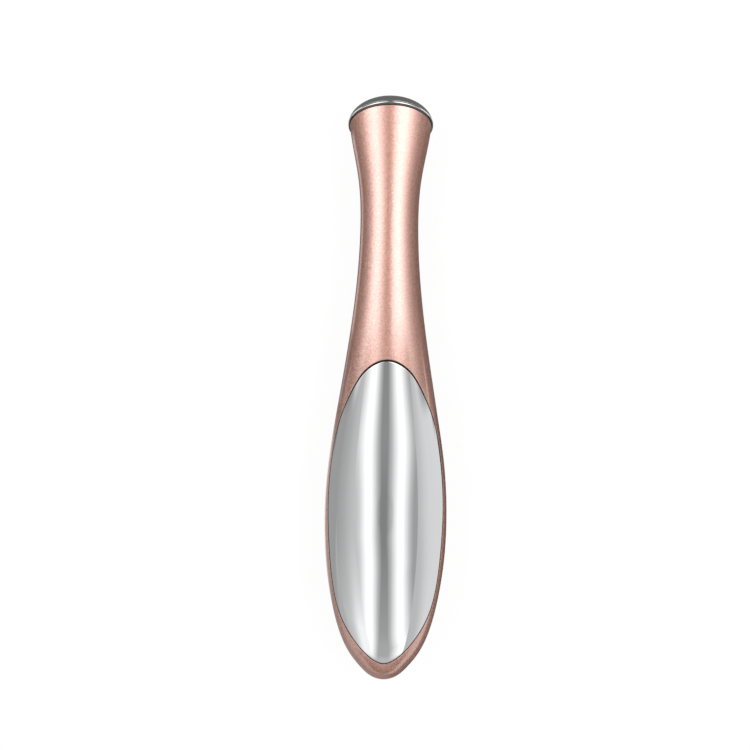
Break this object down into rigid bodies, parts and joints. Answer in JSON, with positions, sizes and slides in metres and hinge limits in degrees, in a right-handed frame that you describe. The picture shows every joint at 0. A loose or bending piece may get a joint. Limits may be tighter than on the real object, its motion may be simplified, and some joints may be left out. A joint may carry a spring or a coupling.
{
  "type": "heated eye massager wand",
  "caption": "Handheld eye massage wand: waisted handle with a lift-off metal grip plate, slanted heated vibrating head, rear power button.",
  "frame": {"origin": "middle of the wand's bounding box, on the surface it lies on", "axes": "+Y from the tail to the massage head, +Z out of the grip plate, +X to the right when looking down on the plate with the head away from the viewer"},
  "size_m": [0.0282, 0.135, 0.0208],
  "materials": {
    "rose_gold_paint": "metallic pearl",
    "chrome_plate": "mirror polished",
    "chrome_cap": "mirror polished",
    "chrome_trim": "polished",
    "black_plastic": "fine satin",
    "grey_plastic": "moulded",
    "white_plastic": "moulded",
    "zinc_steel": "zinc plated",
    "nickel_steel": "nickel plated",
    "bright_steel": "ground",
    "tungsten": "sintered",
    "grey_silicone": "soft",
    "black_rubber": "soft",
    "foam": "open cell",
    "amber_film": "film",
    "black_epoxy": "bead",
    "cell_core": "bright",
    "cell_film": "printed film",
    "board_green": "solder mask",
    "ferrite": "lacquered",
    "drum_cans": "bright",
    "ceramic_black": "fired",
    "clear_acrylic": "polished",
    "lamp_white": "lens",
    "red_wire": "insulation",
    "black_wire": "insulation",
    "white_wire": "insulation",
    "blue_wire": "insulation"
  },
  "bodies": {
    "handle": {"housing": "rose_gold_paint", "head_cap": "chrome_cap", "head_collar": "black_plastic", "head_screws": "zinc_steel", "thermal_pad": "grey_silicone", "heater_disc": "amber_film", "heater_backplate": "grey_plastic", "heat_sensor": "black_epoxy", "heater_cushion": "foam", "motor_can": "nickel_steel", "motor_endcap": "black_plastic", "motor_sleeve": "black_rubber", "battery_can": "cell_core", "battery_jacket": "cell_film", "battery_tray": "grey_plastic", "negative_plate": "nickel_steel", "battery_spring": "nickel_steel", "positive_plate": "nickel_steel", "battery_foam": "foam", "tray_screws": "zinc_steel", "circuit_board": "board_green", "board_screws": "zinc_steel", "control_chip": "black_plastic", "boost_coil": "ferrite", "capacitors": "drum_cans", "resistors": "ceramic_black", "plate_contact": "nickel_steel", "button_ring": "chrome_trim", "tact_switch": "black_plastic", "light_pipe": "clear_acrylic", "status_lamp": "lamp_white", "heater_leads": "red_wire", "sensor_leads": "white_wire", "motor_leads": "blue_wire", "negative_lead": "black_wire", "positive_lead": "red_wire"},
    "cover": {"grip_plate": "chrome_plate", "cover_liner": "grey_plastic"},
    "button": {"power_button": "rose_gold_paint", "switch_plunger": "white_plastic"},
    "rotor": {"motor_shaft": "bright_steel", "vibration_weight": "tungsten"}
  },
  "joints": [
    {"name": "cover_lift", "type": "slide", "parent": "handle", "child": "cover", "axis": [0, 0, 1], "range_m": [0, 0.022]},
    {"name": "button_press", "type": "slide", "parent": "handle", "child": "button", "axis": [0, 0, 1], "range_m": [0, 0.0004], "stiffness_N_per_m": 1500},
    {"name": "rotor_spin", "type": "hinge", "parent": "handle", "child": "rotor", "pos_m": [0, 0.0529, 0.0098], "axis": [0, 1, 0], "continuous": true}
  ]
}
